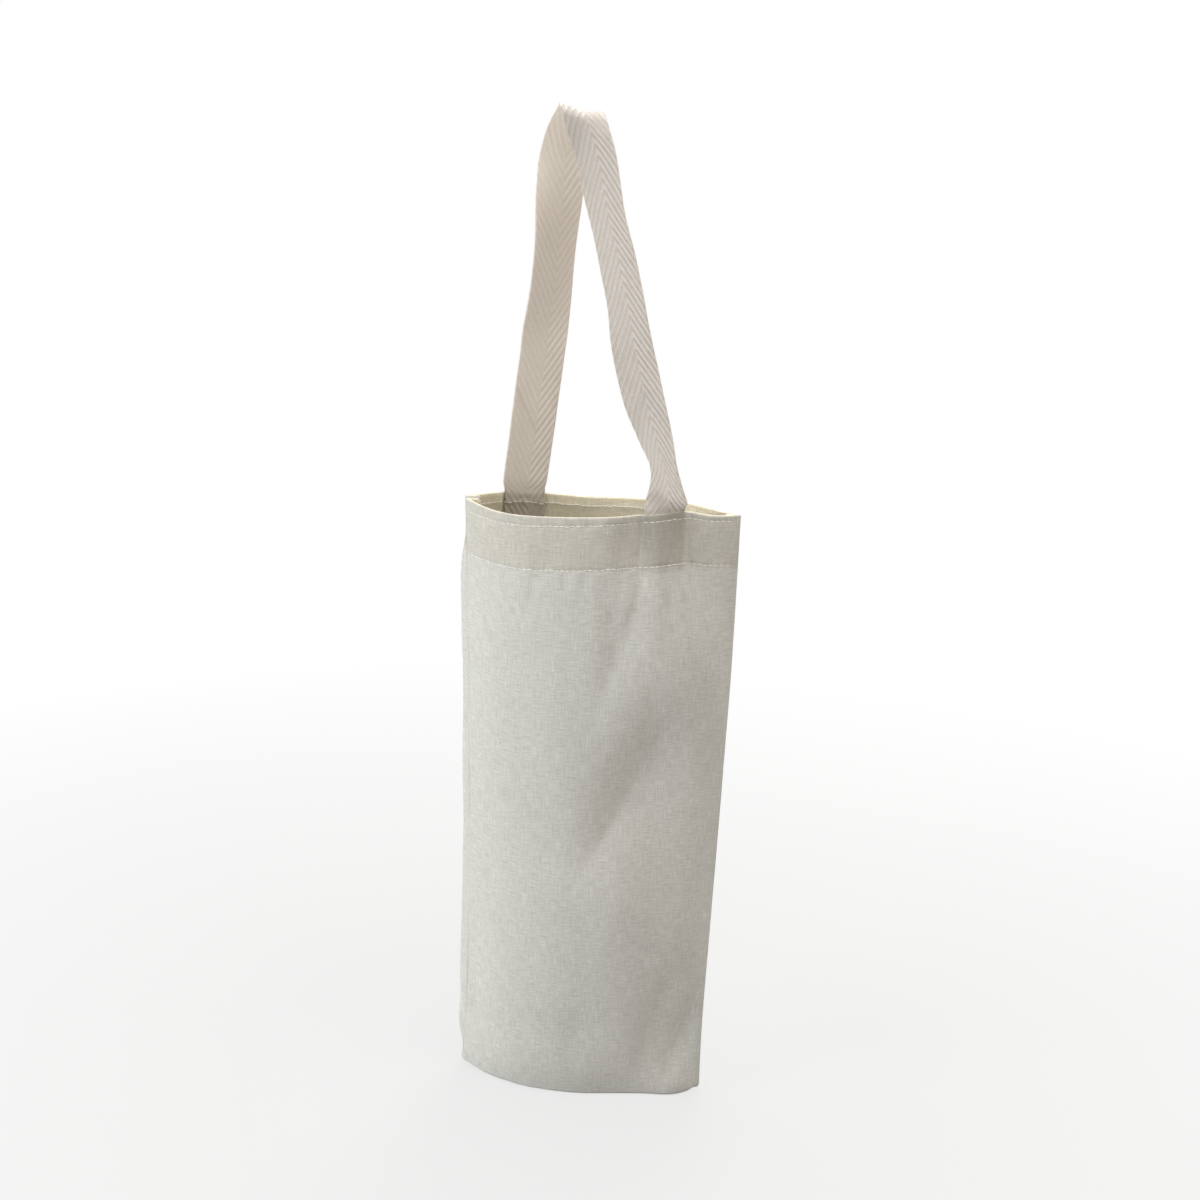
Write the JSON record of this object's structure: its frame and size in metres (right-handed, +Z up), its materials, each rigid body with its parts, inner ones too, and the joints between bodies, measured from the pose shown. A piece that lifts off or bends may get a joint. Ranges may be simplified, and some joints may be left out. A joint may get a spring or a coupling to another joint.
{
  "type": "bottle carrier",
  "caption": "Plain calico bottle bag with a turned, double-stitched hem, an open lens-shaped mouth and one herringbone webbing handle looped from the back rim to the front rim.",
  "frame": {"origin": "middle of the base, on the surface it stands on", "axes": "+Z up, +X to the right seen from the front, -Y the front"},
  "size_m": [0.1538, 0.0528, 0.563],
  "materials": {
    "calico": "unbleached plain-weave cotton, matt, with slubs and seed specks",
    "webbing": "natural cotton herringbone webbing, matt",
    "sewing_thread": "natural spun sewing thread, matt"
  },
  "bodies": {
    "bag": {"front_panel": "calico", "back_panel": "calico", "rim_stitch_needle_thread": "sewing_thread", "rim_stitch_bobbin_thread": "sewing_thread", "hem_stitch_needle_thread": "sewing_thread", "hem_stitch_bobbin_thread": "sewing_thread", "side_seam_thread_right": "sewing_thread", "side_seam_thread_left": "sewing_thread", "bottom_seam_thread": "sewing_thread", "overlock_right": "sewing_thread", "overlock_left": "sewing_thread", "overlock_bottom": "sewing_thread", "handle_end_front": "webbing", "handle_end_back": "webbing"},
    "handle_legs": {"handle_leg_front": "webbing", "handle_leg_back": "webbing"},
    "handle_loop": {"handle_bow": "webbing"}
  },
  "joints": [
    {"name": "handle_lean", "type": "hinge", "parent": "bag", "child": "handle_legs", "pos_m": [-0.0045, -0.00163, 0.38], "axis": [0.9345, -0.356, 0], "range_deg": [-90, 90]},
    {"name": "handle_drop", "type": "hinge", "parent": "handle_legs", "child": "handle_loop", "pos_m": [-0.0045, -0.00163, 0.43], "axis": [0.9345, -0.356, 0], "range_deg": [-90, 90]}
  ]
}
